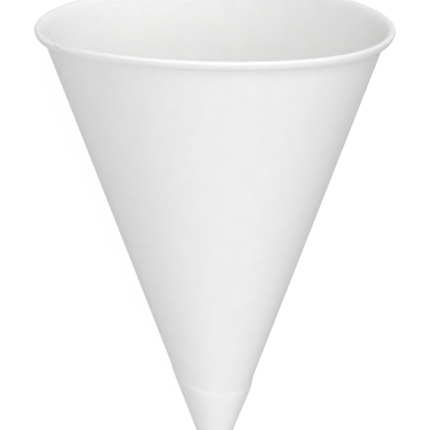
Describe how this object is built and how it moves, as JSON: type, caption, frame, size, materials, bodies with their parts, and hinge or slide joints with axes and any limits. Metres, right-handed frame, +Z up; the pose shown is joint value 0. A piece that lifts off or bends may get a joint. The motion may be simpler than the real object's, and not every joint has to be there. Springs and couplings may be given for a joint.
{
  "type": "cone paper cup",
  "caption": "Cone-shaped paper drinking cup with a rolled rim, a glued lap down its wall and a wrapped, closed point. It lies on its side.",
  "frame": {"origin": "middle of the bounding box, on the surface that the cup lies on", "axes": "+X along the floor towards the mouth, +Z up; the cup's own axis rises 20.3 degrees towards the mouth, and leans 2.2 degrees off to -Y"},
  "size_m": [0.1038, 0.0744, 0.0682],
  "materials": {
    "paper": "smooth white cup paper, matt with a faint sheen"
  },
  "bodies": {
    "root": {"cone_cup": "paper"}
  },
  "joints": []
}
